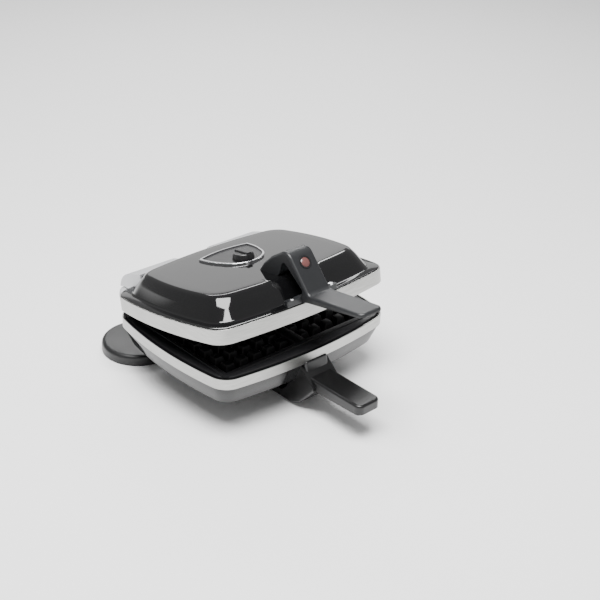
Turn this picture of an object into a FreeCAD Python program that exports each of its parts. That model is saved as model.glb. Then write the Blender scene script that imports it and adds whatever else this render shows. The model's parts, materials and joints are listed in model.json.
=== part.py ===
import FreeCAD
import Part
import math
import os

os.makedirs("parts", exist_ok=True)
V = FreeCAD.Vector

# A waffle maker that stands on a rear stand. Two halves, each a shell, a steel band and a cast plate,
# turn on one axle: the lid opens, and the closed pair swings right over on the stand.
# Everything is drawn with the lid shut, x and y from the middle of the plates and h (up) from the seam
# between the halves. The last section puts it on the table and lifts the lid to where it rests.

# ---- Plates and outline (mm) ----
plate_width = 266.0
plate_depth = 218.0
side_bow = 12.2
front_bow = 13.23
corner_radius = 20.0
rim_thickness = 5.0
rim_gap = 1.3
groove_width = 2.0
groove_depth = 1.0
groove_inset = 6.0

# ---- Waffle pattern ----
cells_across = 13.3
cells_deep = 10.9
columns_per_waffle = 5
rows = 8
divider_extra = 12.7
field_margin_x = 16.4
field_margin_y = 17.8
cavity_depth = 12.5
cavity_draft = 3.0
stud_height = 11.0
stud_base = 15.7
stud_top = 10.6
floor_thickness = 4.0
pan_wall = 4.0
embed = 0.5

# ---- Steel bands ----
band_reach = 4.4
band_thickness = 1.2
band_gap = 2.7
lower_band_height = 13.4
upper_band_height = 17.6
fit_gap = 0.2

# ---- Shells ----
wall = 2.2
shell_rim_drop = 1.3
ledge_thickness = 1.6
ledge_width = 7.0
lower_depth = 43.5
lower_taper = 11.0
lower_edge_radius = 10.0
lower_corner_radius = 20.0
lip_height = 1.35
lip_step = 11.0
lid_foot_corner = 28.0
shoulder_drop = 9.2
shoulder_in_x = 13.5
shoulder_in_y = 17.0
shoulder_radius = 24.0
lid_height = 45.2
lid_top_in_x = 20.0
lid_top_in_y = 26.0
lid_side_bow = 11.71
lid_front_bow = 12.94
lid_corner_radius = 26.0
lid_edge_radius = 9.0

# ---- Heating, under each plate ----
heater_radius = 3.3
heater_in_x = 38.0
heater_in_y = 34.0
heater_bend = 22.0
heater_tail_gap = 28.0
tray_in_x = 21.0
tray_in_y = 23.0
tray_corner = 32.0
tray_sheet = 0.8
tray_height = 11.0
tray_screw_x = 62.0
tray_screw_y = 45.0
screw_radius = 1.6
screw_head_radius = 3.4
screw_head_height = 2.0
boss_radius = 4.2

# ---- Hinge ----
barrel_clear = 0.1
axle_radius = 4.0
running_fit = 0.05
press_gap = 0.02
barrel_radius = 15.2
barrel_inner_x = 82.0
cover_end_x = 100.0
cover_start_x = 30.0
cover_wall = 2.2
cover_clear = 0.8
knuckle_radius = 9.0
knuckle_x = 60.0
knuckle_width = 13.0
axle_end_gap = 3.5
hinge_arm_drop = 32.0
hinge_arm_back = 9.8

# ---- Stand ----
seam_height = 76.0
disc_radius = 47.7
disc_spacing = 164.0
disc_height = 13.0
disc_edge_radius = 5.0
stand_wall = 3.0
bridge_depth = 44.0
bridge_drop = 1.5
pad_thickness = 1.2
pad_inset = 4.0
post_width = 52.0
post_thickness = 12.0
post_boss_radius = 9.5
foot_plate_depth = 36.0
foot_plate_width = 64.0
foot_plate_thickness = 4.0

# ---- Handles ----
handle_width = 34.5
arch_rise = 34.2
arch_top_in = 15.4
upper_handle_reach = 98.4
lower_handle_reach = 95.0
handle_edge = 3.0
paddle_corner = 8.0
foot_width = 42.0
ear_span = 76.0
ear_height = 7.0
ear_screw_x = 30.0

# ---- Lamp in the upper handle ----
lamp_height = 62.3
bezel_radius = 8.0
lens_radius = 5.9
bezel_depth = 3.0
lamp_pocket_depth = 8.5
holder_radius = 4.6
lens_crown = 1.4

# ---- Thermostat on the lid ----
badge_half_width = 38.0
badge_tip_y = 47.2
badge_rear_y = 54.0
badge_front_y = -12.7
badge_rim_width = 2.4
badge_rim_height = 2.6
panel_thickness = 1.0
knob_y = 8.5
knob_radius = 13.5
knob_height = 8.6
knob_edge = 1.6
grip_width = 7.0
grip_height = 1.8
shaft_radius = 3.0
thermostat_radius = 12.5
thermostat_height = 9.0

# ---- Mains entry ----
gland_x = 112.0
gland_drop = 27.0
gland_radius = 7.0
gland_bore = 3.6
gland_length = 18.0

# ---- How far the lid rests open ----
lid_ajar_deg = 10.29

# ---- Derived places ----
half_width = plate_width / 2
half_depth = plate_depth / 2
side_radius = (half_depth**2 + side_bow**2) / (2 * side_bow)
front_radius = (half_width**2 + front_bow**2) / (2 * front_bow)
pitch_x = plate_width / cells_across
pitch_y = plate_depth / cells_deep
shoulder_height = lid_height - shoulder_drop
lid_half_x = half_width - lid_top_in_x
lid_half_y = half_depth - lid_top_in_y
lid_side_radius = (lid_half_y**2 + lid_side_bow**2) / (2 * lid_side_bow)
lid_front_radius = (lid_half_x**2 + lid_front_bow**2) / (2 * lid_front_bow)
axle_y = half_depth + barrel_radius + barrel_clear
cover_clear_radius = barrel_radius + cover_clear
shell_reach = band_reach - band_thickness - fit_gap
band_edge = band_gap / 2
rim_face = rim_gap / 2
rim_back = rim_face + rim_thickness
cavity_floor = rim_face + cavity_depth
pan_bottom = cavity_floor + floor_thickness
lower_band_end = band_edge + lower_band_height
upper_band_end = band_edge + upper_band_height
lip_top = upper_band_end + lip_height
tray_floor = pan_bottom + tray_height
heater_h = pan_bottom + heater_radius + 0.2
handle_half = handle_width / 2
front_face = half_depth + band_reach
upper_tip = -half_depth - upper_handle_reach
lower_tip = -half_depth - lower_handle_reach
stand_rear = axle_y + disc_radius
centre_y = (-lower_tip - stand_rear) / 2
bridge_top = pad_thickness - seam_height + disc_height - bridge_drop


# ---- Drawing helpers ----
def crowned_outline(half_x, half_y, side_r, front_r, corner_r, h):
    """A rectangle with four bowed sides and round corners, as one wire at height h."""
    side_centre = V(half_x - side_r, 0, h)
    front_centre = V(0, half_y - front_r, h)
    between = front_centre - side_centre
    span = between.Length
    along = (span**2 + (side_r - corner_r) ** 2 - (front_r - corner_r) ** 2) / (2 * span)
    across = math.sqrt((side_r - corner_r) ** 2 - along**2)
    unit = between / span
    corner = side_centre + unit * along + V(-unit.y, unit.x, 0) * across
    on_side = side_centre + (corner - side_centre).normalize() * side_r
    on_front = front_centre + (corner - front_centre).normalize() * front_r
    middle = corner + ((on_side - corner) + (on_front - corner)).normalize() * corner_r

    def at(point, sx, sy):
        return V(point.x * sx, point.y * sy, h)

    arcs = [
        (at(on_side, 1, -1), V(half_x, 0, h), at(on_side, 1, 1)),
        (at(on_side, 1, 1), at(middle, 1, 1), at(on_front, 1, 1)),
        (at(on_front, 1, 1), V(0, half_y, h), at(on_front, -1, 1)),
        (at(on_front, -1, 1), at(middle, -1, 1), at(on_side, -1, 1)),
        (at(on_side, -1, 1), V(-half_x, 0, h), at(on_side, -1, -1)),
        (at(on_side, -1, -1), at(middle, -1, -1), at(on_front, -1, -1)),
        (at(on_front, -1, -1), V(0, -half_y, h), at(on_front, 1, -1)),
        (at(on_front, 1, -1), at(middle, 1, -1), at(on_side, 1, -1)),
    ]
    return Part.Wire([Part.Arc(*arc).toShape() for arc in arcs])


def body_outline(reach, h, corner=None):
    """The plate's outline, let out by reach (or taken in where it is negative)."""
    return crowned_outline(
        half_width + reach,
        half_depth + reach,
        side_radius + reach,
        front_radius + reach,
        corner or corner_radius + max(reach, 3.0 - corner_radius),
        h,
    )


def lid_outline(half_x, half_y, inset, h):
    """The plan of the lid's wall, which bows more than the plate does."""
    return crowned_outline(
        half_x - inset,
        half_y - inset,
        lid_side_radius - inset,
        lid_front_radius - inset,
        lid_corner_radius - inset,
        h,
    )


def prism(wire, height):
    return Part.Face(wire).extrude(V(0, 0, height))


def loft(*wires):
    return Part.makeLoft(list(wires), True, True)


def body_prism(reach, low, high):
    return prism(body_outline(reach, low), high - low)


def box(x0, x1, y0, y1, h0, h1):
    return Part.makeBox(x1 - x0, y1 - y0, h1 - h0, V(x0, y0, h0))


def rod(radius, start, along, length):
    return Part.makeCylinder(radius, length, start, along)


def post(radius, x, y, h0, h1):
    return rod(radius, V(x, y, h0), V(0, 0, 1), h1 - h0)


def crossbar(radius, x0, x1, y=None, h=0.0):
    """A cylinder along x, on the axle unless told otherwise."""
    return rod(radius, V(x0, axle_y if y is None else y, h), V(1, 0, 0), x1 - x0)


def frustum(x, y, h0, half0, h1, half1):
    """A tapered block from (half width, half depth) half0 at h0 to half1 at h1."""

    def ring(half, h):
        corners = [(-1, -1), (1, -1), (1, 1), (-1, 1), (-1, -1)]
        return Part.makePolygon([V(x + sx * half[0], y + sy * half[1], h) for sx, sy in corners])

    return loft(ring(half0, h0), ring(half1, h1))


def rounded_box(half_x, half_y, radius, h0, h1):
    block = box(-half_x, half_x, -half_y, half_y, h0, h1)
    upright = [e for e in block.Edges if abs(e.Vertexes[0].Z - e.Vertexes[1].Z) > 0.1]
    return block.makeFillet(radius, upright)


def edges_at(shape, h):
    """The edges that lie wholly at height h."""
    return [
        e
        for e in shape.Edges
        if abs(e.BoundBox.ZMin - h) < 1e-4 and abs(e.BoundBox.ZMax - h) < 1e-4
    ]


def side_path(points, closed=True):
    """Edges in the y-h plane through points (y, h, corner radius), with tangent arcs at the corners."""
    places = [V(0, y, h) for y, h, _ in points]
    count = len(places)
    path = []
    ends = []
    for i, here in enumerate(places):
        radius = points[i][2]
        if radius == 0:
            ends.append((here, here, None))
            continue
        back = (places[i - 1] - here).normalize()
        ahead = (places[(i + 1) % count] - here).normalize()
        half_turn = back.getAngle(ahead) / 2
        start = here + back * (radius / math.tan(half_turn))
        finish = here + ahead * (radius / math.tan(half_turn))
        middle = here + (back + ahead).normalize() * (radius / math.sin(half_turn) - radius)
        ends.append((start, finish, Part.Arc(start, middle, finish).toShape()))
    for i in range(count):
        if ends[i][2]:
            path.append(ends[i][2])
        if i == count - 1 and not closed:
            break
        leave = ends[i][1]
        arrive = ends[(i + 1) % count][0]
        if (arrive - leave).Length > 1e-6:
            path.append(Part.makeLine(leave, arrive))
    return path


def slab(points, half):
    """The side profile drawn out along x, half to each side."""
    face = Part.Face(Part.Wire(side_path(points)))
    face.translate(V(-half, 0, 0))
    return face.extrude(V(2 * half, 0, 0))


def round_along(shape, points, half, radius):
    """Rounds both long edges of a slab that follow the open path through points."""
    chosen = []
    for x in (-half, half):
        path = Part.Compound(side_path(points, closed=False))
        path.translate(V(x, 0, 0))
        for edge in shape.Edges:
            middle = Part.Vertex(edge.valueAt((edge.FirstParameter + edge.LastParameter) / 2))
            if middle.distToShape(path)[0] < 1e-3:
                chosen.append(edge)
    return shape.makeFillet(radius, chosen)


def fuse_all(shapes):
    return shapes[0].multiFuse(shapes[1:]).removeSplitter()


def flipped(shape):
    """The same shape on the other side of the seam."""
    return shape.mirror(V(0, 0, 0), V(0, 0, 1))


def across(shape):
    """The same shape on the other side, left for right."""
    return shape.mirror(V(0, 0, 0), V(1, 0, 0))


def screw(x, y, h, down, length):
    """A round-headed screw whose head sits on h and whose shank runs to the side that down names."""
    head_from = h if down < 0 else h - screw_head_height
    head = post(screw_head_radius, x, y, head_from, head_from + screw_head_height)
    shank = rod(screw_radius, V(x, y, h), V(0, 0, down), length)
    return head.fuse(shank)


# ---- Plates: one pattern, used below and, turned over, above ----
def stud_places():
    xs = [first_stud_x + pitch_x * i for i in range(columns_per_waffle)]
    ys = [pitch_y * (j - (rows - 1) / 2) for j in range(rows)]
    return [(side * x, y) for side in (-1, 1) for x in xs for y in ys]


first_stud_x = (pitch_x + divider_extra) / 2
last_stud_x = first_stud_x + pitch_x * (columns_per_waffle - 1)
last_stud_y = pitch_y * (rows - 1) / 2
field_half_x = last_stud_x + field_margin_x
field_half_y = last_stud_y + field_margin_y
divider_half = first_stud_x - stud_base / 2 - 2.0


def lower_plate():
    rim = body_prism(0, -rim_back, -rim_face)
    pan = rounded_box(field_half_x + pan_wall, field_half_y + pan_wall, 8.0, -pan_bottom, -rim_face - 1)
    plate = rim.fuse(pan)
    waffle_half = (field_half_x - divider_half) / 2
    waffle_x = (field_half_x + divider_half) / 2
    for side in (-1, 1):
        cavity = frustum(
            side * waffle_x,
            0,
            -cavity_floor,
            (waffle_half - cavity_draft, field_half_y - cavity_draft),
            -rim_face,
            (waffle_half, field_half_y),
        )
        plate = plate.cut(cavity)
    groove_x = field_half_x + groove_inset
    groove_y = field_half_y + groove_inset
    groove_h = (-rim_face - groove_depth, -rim_face)
    groove = rounded_box(groove_x + groove_width, groove_y + groove_width, 9.0, *groove_h)
    plate = plate.cut(groove.cut(rounded_box(groove_x, groove_y, 7.0, *groove_h)))
    studs = [
        frustum(
            x,
            y,
            -cavity_floor - embed,
            (stud_base / 2, stud_base / 2),
            -cavity_floor + stud_height,
            (stud_top / 2, stud_top / 2),
        )
        for x, y in stud_places()
    ]
    return fuse_all([plate] + studs)


# ---- Bands ----
def band(low, high):
    return body_prism(band_reach, low, high).cut(body_prism(band_reach - band_thickness, low, high))


# ---- Lower shell ----
def lower_shell_form(inset, depth, edge_radius):
    """The lower shell's outside, or, let in by inset, the hollow in it."""
    skirt = body_prism(shell_reach - inset, -lower_band_end, -band_edge - shell_rim_drop)
    bowl = loft(
        body_outline(shell_reach - lower_taper - inset, -depth, lower_corner_radius - inset),
        body_outline(shell_reach - inset, -lower_band_end),
    )
    bowl = bowl.makeFillet(edge_radius, edges_at(bowl, -depth))
    return skirt.fuse(bowl)


def plate_ledge():
    ring = body_prism(shell_reach - wall + 0.1, -rim_back - ledge_thickness, -rim_back)
    return ring.cut(body_prism(shell_reach - wall - ledge_width, -rim_back - ledge_thickness, -rim_back))


def tray_bosses(shell_inside):
    """Four posts that carry the tray, from the shell's inside to the tray's back."""
    return [
        post(boss_radius, sx * tray_screw_x, sy * tray_screw_y, -shell_inside - 1, -tray_floor - tray_sheet)
        for sx in (-1, 1)
        for sy in (-1, 1)
    ]


def tray_screw_holes(depth):
    return [
        post(
            screw_radius + 0.1,
            sx * tray_screw_x,
            sy * tray_screw_y,
            -tray_floor - tray_sheet - depth,
            -tray_floor,
        )
        for sx in (-1, 1)
        for sy in (-1, 1)
    ]


def lower_shell():
    shell = lower_shell_form(0, lower_depth, lower_edge_radius)
    shell = shell.cut(lower_shell_form(wall, lower_depth - wall, lower_edge_radius - wall))
    shell = fuse_all([shell, plate_ledge()] + tray_bosses(lower_depth - wall))
    holes = tray_screw_holes(tray_screw_length) + foot_screw_holes() + [gland_hole()]
    return shell.cut(Part.makeCompound(holes))


# ---- Lid shell ----
def lid_shell_form(inset, top, edge_radius):
    skirt = body_prism(shell_reach - inset, band_edge + shell_rim_drop, lip_top - inset)
    dome = loft(
        body_outline(shell_reach - lip_step - inset, lip_top - inset, lid_foot_corner - inset),
        lid_outline(half_width - shoulder_in_x, half_depth - shoulder_in_y, inset, shoulder_height - inset / 2),
        lid_outline(lid_half_x, lid_half_y, inset, top),
    )
    dome = dome.makeFillet(shoulder_radius, edges_at(dome, shoulder_height - inset / 2))
    dome = dome.makeFillet(edge_radius, edges_at(dome, top))
    return skirt.fuse(dome)


def lid_shell():
    shell = lid_shell_form(0, lid_height, lid_edge_radius)
    shell = shell.cut(lid_shell_form(wall, lid_height - wall, lid_edge_radius - wall))
    bosses = [flipped(b) for b in tray_bosses(lid_height - wall)]
    shell = fuse_all([shell, flipped(plate_ledge())] + bosses)
    holes = [flipped(h) for h in tray_screw_holes(tray_screw_length)]
    holes += [post(shaft_radius + 0.5, 0, knob_y, lid_height - wall - 1, lid_height + 1)]
    holes += ear_screw_holes()
    return shell.cut(Part.makeCompound(holes))


# ---- Heater, tray and their screws ----
tray_screw_length = 8.0


def lower_heater():
    """A bent tube with its two ends at the rear."""
    x = half_width - heater_in_x
    y = half_depth - heater_in_y
    corner = [(-x, y), (-x, -y), (x, -y), (x, y)]
    start = V(-heater_tail_gap / 2, y, -heater_h)
    finish = V(heater_tail_gap / 2, y, -heater_h)
    places = [start] + [V(cx, cy, -heater_h) for cx, cy in corner] + [finish]
    path = []
    leave = start
    for i in range(1, len(places) - 1):
        here = places[i]
        back = (places[i - 1] - here).normalize()
        ahead = (places[i + 1] - here).normalize()
        enter = here + back * heater_bend
        out = here + ahead * heater_bend
        middle = here + (back + ahead).normalize() * (heater_bend * (math.sqrt(2) - 1))
        path.append(Part.makeLine(leave, enter))
        path.append(Part.Arc(enter, middle, out).toShape())
        leave = out
    path.append(Part.makeLine(leave, finish))
    ring = Part.Wire(Part.makeCircle(heater_radius, start, V(-1, 0, 0)))
    return Part.Wire(path).makePipeShell([ring], True, True)


def lower_tray():
    """The sheet reflector behind the heater, a shallow dish."""
    half_x = half_width - tray_in_x
    half_y = half_depth - tray_in_y
    outside = rounded_box(half_x, half_y, tray_corner, -tray_floor - tray_sheet, -pan_bottom)
    inside = rounded_box(
        half_x - tray_sheet, half_y - tray_sheet, tray_corner - tray_sheet, -tray_floor, -pan_bottom
    )
    return outside.cut(inside).cut(Part.makeCompound(tray_screw_holes(1)))


def lower_tray_screws():
    return Part.makeCompound(
        [
            screw(sx * tray_screw_x, sy * tray_screw_y, -tray_floor, -1, tray_screw_length)
            for sx in (-1, 1)
            for sy in (-1, 1)
        ]
    )


clip_width = 14.0
clip_sheet = 0.8
clip_gap = 0.3


def lower_plate_clips():
    """Two spring clips on the ledge that grip the sides of the pan."""
    grip_x = field_half_x + pan_wall + clip_gap
    under_ledge = -rim_back - ledge_thickness
    foot_end = half_width + shell_reach - wall - 2.0
    blade = box(
        grip_x, grip_x + clip_sheet, -clip_width / 2, clip_width / 2, -cavity_floor, under_ledge
    )
    foot = box(
        grip_x, foot_end, -clip_width / 2, clip_width / 2, under_ledge - clip_sheet, under_ledge
    )
    clip = blade.fuse(foot).removeSplitter()
    return Part.makeCompound([clip, across(clip)])


# ---- Hinge: axle, lower knuckles, lid covers ----
def hinge_axle():
    end = cover_end_x - axle_end_gap
    rod_body = crossbar(axle_radius, -end, end)
    return rod_body.makeChamfer(0.6, [e for e in rod_body.Edges if e.BoundBox.XLength < 1e-6])


def lower_outside():
    return lower_shell_form(0, lower_depth, lower_edge_radius)


def lid_outside():
    return lid_shell_form(0, lid_height, lid_edge_radius)


def lower_hinge_right():
    """A silver barrel on the axle's end, with an arm down the back of the lower shell."""
    barrel = crossbar(barrel_radius, barrel_inner_x, cover_end_x)
    ends = [e for e in barrel.Edges if abs(e.BoundBox.XMax - cover_end_x) < 1e-4 and e.BoundBox.XLength < 1e-4]
    barrel = barrel.makeFillet(1.5, ends)
    arm = box(
        barrel_inner_x,
        cover_end_x,
        axle_y - 26.0,
        axle_y - hinge_arm_back,
        -hinge_arm_drop,
        -barrel_radius * 0.6,
    )
    low_edges = [
        e
        for e in arm.Edges
        if abs(e.BoundBox.ZMax + hinge_arm_drop) < 1e-4 and e.BoundBox.XLength > 1
    ]
    arm = arm.makeFillet(4.0, low_edges)
    knuckle = barrel.fuse(arm).removeSplitter()
    knuckle = knuckle.cut(lower_outside())
    knuckle = knuckle.cut(body_prism(band_reach + 0.1, -lower_band_end - 0.1, -band_edge + 0.1))
    knuckle = knuckle.cut(Part.makeCompound([hinge_screw_hole(h) for h in hinge_screw_heights]))
    bore_end = cover_end_x - axle_end_gap + 0.3
    return knuckle.cut(crossbar(axle_radius + running_fit, barrel_inner_x - 1, bore_end))


hinge_screw_heights = (-20.0, -27.0)
hinge_screw_radius = 2.4
hinge_screw_length = 5.0
hinge_screw_x = (barrel_inner_x + cover_end_x) / 2


def hinge_screw_hole(h):
    start = V(hinge_screw_x, axle_y - hinge_arm_back + 0.5, h)
    return rod(hinge_screw_radius + 0.1, start, V(0, -1, 0), hinge_screw_length + 0.7)


def lower_hinge_screws():
    made = []
    for h in hinge_screw_heights:
        start = V(hinge_screw_x, axle_y - hinge_arm_back - 0.2, h)
        pin = rod(hinge_screw_radius, start, V(0, -1, 0), hinge_screw_length)
        made += [pin, across(pin)]
    return Part.makeCompound(made)


def cover_profile(inset):
    """The lid cover's hollow back, seen from the side: a flat top that rolls over to a lip."""
    top = V(0, axle_y - 12.6, 34.6 - inset)
    roll = V(0, axle_y + 2.3 - inset * 0.75, 26.0 - inset * 0.68)
    lip = V(0, axle_y + 8.2 - inset, 15.2)
    start = V(0, axle_y - 40.0, 39.0 - inset)
    foot = V(0, axle_y - 40.0, 15.2)
    edges = [
        Part.makeLine(start, top),
        Part.Arc(top, roll, lip).toShape(),
        Part.makeLine(lip, foot),
        Part.makeLine(foot, start),
    ]
    return Part.Face(Part.Wire(edges))


def cover_block(inset, x0, x1):
    face = cover_profile(inset)
    face.translate(V(x0, 0, 0))
    return face.extrude(V(x1 - x0, 0, 0))


def hinge_cover_right():
    """A grey cover behind the lid, closed at both ends, with the lid's knuckle inside it."""
    outside = cover_block(0, cover_start_x, cover_end_x)
    hollow = cover_block(cover_wall, cover_start_x + cover_wall, cover_end_x - cover_wall)
    hollow.translate(V(0, 0, -0.01))
    cover = outside.cut(hollow)
    knuckle = crossbar(knuckle_radius, knuckle_x, knuckle_x + knuckle_width)
    web = box(
        knuckle_x,
        knuckle_x + knuckle_width,
        axle_y - knuckle_radius,
        axle_y + knuckle_radius * 0.6,
        0,
        33.0,
    ).common(cover_block(0, knuckle_x, knuckle_x + knuckle_width).fuse(
        box(knuckle_x, knuckle_x + knuckle_width, axle_y - knuckle_radius, axle_y + 6.0, 0, 15.3)
    ))
    cover = fuse_all([cover, web, knuckle])
    cover = cover.cut(lid_outside())
    cover = cover.cut(body_prism(band_reach + 0.1, band_edge - 0.1, upper_band_end + 0.1))
    cover = cover.cut(crossbar(axle_radius + running_fit, cover_start_x, cover_end_x))
    return cover.cut(crossbar(cover_clear_radius, barrel_inner_x - 1, cover_end_x + 1))


# ---- Stand ----
def stand_form(inset, low, top):
    """Two discs and the bridge between them, let in all round by inset."""
    discs = []
    for side in (-1, 1):
        disc = post(disc_radius - inset, side * disc_spacing / 2, axle_y, low, top - inset)
        discs.append(disc.makeFillet(disc_edge_radius - inset, edges_at(disc, top - inset)))
    bridge = box(
        -disc_spacing / 2,
        disc_spacing / 2,
        axle_y - bridge_depth / 2 + inset,
        axle_y + bridge_depth / 2 - inset,
        low,
        top - bridge_drop - inset,
    )
    return fuse_all(discs + [bridge])


def stand_body():
    """Two round feet joined by a bridge, hollow underneath."""
    low = pad_thickness - seam_height
    top = low + disc_height
    solid = stand_form(0, low, top).cut(stand_form(stand_wall, low, top))
    return solid.cut(Part.makeCompound(post_screw_holes()))


def post_screw_places():
    x = foot_plate_width / 2 - 9.0
    y = foot_plate_depth / 2 - 7.0
    return [(sx * x, axle_y + sy * y) for sx in (-1, 1) for sy in (-1, 1)]


def post_screw_holes():
    return [post(screw_radius + 0.1, x, y, bridge_top - stand_wall - 1, 0) for x, y in post_screw_places()]


def stand_pads():
    low = -seam_height
    discs = [
        post(disc_radius - pad_inset * 0.25, side * disc_spacing / 2, axle_y, low, low + pad_thickness).cut(
            post(disc_radius - pad_inset, side * disc_spacing / 2, axle_y, low, low + pad_thickness)
        )
        for side in (-1, 1)
    ]
    return Part.makeCompound(discs)


def stand_post():
    """The upright that carries the axle between the hinge covers."""
    base = bridge_top
    plate = box(
        -foot_plate_width / 2,
        foot_plate_width / 2,
        axle_y - foot_plate_depth / 2,
        axle_y + foot_plate_depth / 2,
        base,
        base + foot_plate_thickness,
    )
    upright_edges = [e for e in plate.Edges if e.BoundBox.ZLength > 1]
    plate = plate.makeFillet(6.0, upright_edges)
    web = box(
        -post_width / 2,
        post_width / 2,
        axle_y - post_thickness / 2,
        axle_y + post_thickness / 2,
        base,
        0,
    )
    boss = crossbar(post_boss_radius, -post_width / 2, post_width / 2)
    upright = fuse_all([plate, web, boss])
    upright = upright.cut(crossbar(axle_radius + press_gap, -post_width, post_width))
    return upright.cut(Part.makeCompound(post_screw_holes()))


def post_screws():
    top = bridge_top + foot_plate_thickness
    return Part.makeCompound([screw(x, y, top, -1, 6.0) for x, y in post_screw_places()])


# ---- Handles ----
fold_y = half_depth + 15.0
fold_h = 30.4
arch_top = lid_height + arch_rise
arch_slope = math.degrees(math.atan2(arch_top - fold_h, fold_y - half_depth + arch_top_in))
lower_fold_y = half_depth + 9.6
lower_paddle_top = 28.6
lower_paddle_under = 41.0


def round_far_corners(paddle, y):
    """Rounds the two upright corners at a paddle's tip."""
    tips = [
        e
        for e in paddle.Edges
        if e.BoundBox.XLength < 1e-4 and e.BoundBox.YLength < 1e-3 and abs(e.BoundBox.YMin - y) < 1e-3
    ]
    return paddle.makeFillet(paddle_corner, tips)


def upper_handle():
    """A paddle that folds up into an arch and comes down on the lid's top."""
    tip = upper_tip
    outside = [
        (tip, 26.8, 0),
        (-fold_y, fold_h, 7.0),
        (-half_depth + arch_top_in, arch_top, 13.0),
        (-half_depth + 45.0, lid_height + 21.3, 24.0),
        (-half_depth + 58.8, lid_height + 11.4, 10.0),
        (-half_depth + 67.6, lid_height + 1.4, 0),
    ]
    inside = [
        (-half_depth + 66.6, lid_height, 0),
        (-half_depth + 35.0, lid_height, 0),
        (-half_depth + 31.8, lid_height + 3.0, 3.0),
        (-half_depth + 23.4, lid_height + 21.4, 5.0),
        (-half_depth + 6.5, lid_height + 3.0, 10.0),
        (-half_depth - 5.5, 35.0, 3.0),
        (-half_depth - 2.5, lip_top + ear_height, 2.0),
        (-half_depth + 1.0, lip_top + ear_height, 0),
        (-half_depth + 1.0, lip_top, 0),
        (-half_depth - 7.6, lip_top, 0),
        (-half_depth - 9.0, lip_top + 1.6, 0),
        (tip, 22.6, 0),
    ]
    strap = slab(outside + inside, handle_half)
    strap = round_far_corners(strap, tip)
    strap = round_along(strap, outside, handle_half, handle_edge)
    ears = box(
        -ear_span / 2, ear_span / 2, -front_face + 1.0, -front_face + 8.5, lip_top, lip_top + ear_height
    )
    ears = ears.makeFillet(2.0, [e for e in ears.Edges if e.BoundBox.ZLength > 1])
    handle = strap.fuse(ears).removeSplitter()
    handle = handle.cut(lid_outside())
    handle = handle.cut(Part.makeCompound(ear_screw_holes()))
    return handle.cut(lamp_pocket())


def ear_screw_holes():
    y = -front_face + 3.7
    return [
        post(screw_radius + 0.1 - 0.4, side * ear_screw_x, y, lip_top - wall - 1, lip_top + ear_height + 1)
        for side in (-1, 1)
    ]


def upper_handle_screws():
    y = -front_face + 3.7
    made = []
    for side in (-1, 1):
        head = post(2.8, side * ear_screw_x, y, lip_top + ear_height, lip_top + ear_height + 1.8)
        shank = post(screw_radius - 0.4, side * ear_screw_x, y, lip_top - wall, lip_top + ear_height)
        made.append(head.fuse(shank))
    return Part.makeCompound(made)


def lower_handle():
    """A flat paddle, a tab up the band, and a round foot under the shell that stands on the table."""
    tip = lower_tip
    foot_level = pad_thickness - seam_height
    paddle_top = [(tip, -lower_paddle_top, 0), (-lower_fold_y, -lower_paddle_top, 0)]
    paddle = [
        (tip, -lower_paddle_under + 0.7, 0),
        paddle_top[0],
        (-lower_fold_y, -lower_paddle_top, 4.0),
        (-front_face - 1.6, -band_edge - 10.8, 2.0),
        (-front_face + 6.0, -band_edge - 10.8, 0),
        (-front_face + 8.0, -lower_depth + 6.0, 0),
        (-front_face - 22.0, -lower_paddle_under - 1.6, 0),
    ]
    blade = slab(paddle, handle_half)
    blade = round_far_corners(blade, tip)
    blade = round_along(blade, paddle_top, handle_half, handle_edge)
    foot_outside = [
        (-front_face - 19.0, -lower_paddle_under - 2.0, 0),
        (-front_face + 3.0, -67.5, 20.0),
        (-front_face + 17.5, foot_level, 14.0),
        (-front_face + 55.0, foot_level, 14.0),
        (-front_face + 70.0, -58.0, 12.0),
        (-front_face + 73.0, -lower_depth, 0),
    ]
    foot_inside = [
        (-front_face + 62.0, -lower_depth, 0),
        (-front_face + 58.0, -56.0, 6.0),
        (-front_face + 48.0, -64.0, 6.0),
        (-front_face + 34.0, -64.0, 8.0),
        (-front_face + 24.0, -53.0, 8.0),
        (-front_face + 22.0, -lower_depth + 6.0, 0),
        (-front_face + 4.0, -lower_band_end - 2.0, 0),
        (-front_face - 19.0, -lower_paddle_under + 4.0, 0),
    ]
    cup = slab(foot_outside + foot_inside, foot_width / 2)
    cup = round_along(cup, foot_outside, foot_width / 2, handle_edge)
    handle = blade.fuse(cup).removeSplitter()
    handle = handle.cut(lower_outside())
    handle = handle.cut(body_prism(band_reach, -lower_band_end, -band_edge))
    handle = handle.cut(foot_pad())
    return handle.cut(Part.makeCompound(foot_screw_holes()))


pad_width = 26.0
pad_length = 24.0


def foot_pad():
    """The rubber pad let into the foot's underside."""
    y = -front_face + 36.0
    low = -seam_height
    return box(-pad_width / 2, pad_width / 2, y - pad_length / 2, y + pad_length / 2, low, low + 2.2)


foot_screw_y = -front_face + 66.0
foot_screw_x = 9.0


def foot_screw_holes():
    return [
        post(screw_radius + 0.1, side * foot_screw_x, foot_screw_y, -lower_depth - 8.0, -lower_depth + wall)
        for side in (-1, 1)
    ]


def lower_handle_screws():
    """Two screws from inside the shell into the foot's rear end."""
    inside = -lower_depth + wall
    made = []
    for side in (-1, 1):
        head = post(screw_head_radius, side * foot_screw_x, foot_screw_y, inside, inside + screw_head_height)
        shank = post(screw_radius, side * foot_screw_x, foot_screw_y, inside - 9.0, inside)
        made.append(head.fuse(shank))
    return Part.makeCompound(made)


# ---- Lamp ----
lamp_y = -fold_y + (lamp_height - fold_h) / math.tan(math.radians(arch_slope))
lamp_out = V(0, -math.sin(math.radians(arch_slope)), math.cos(math.radians(arch_slope)))
lamp_face = V(0, lamp_y, lamp_height)


def lamp_pocket():
    start = lamp_face + lamp_out * 4
    return rod(bezel_radius + 0.1, start, lamp_out * -1, lamp_pocket_depth + 4)


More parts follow.
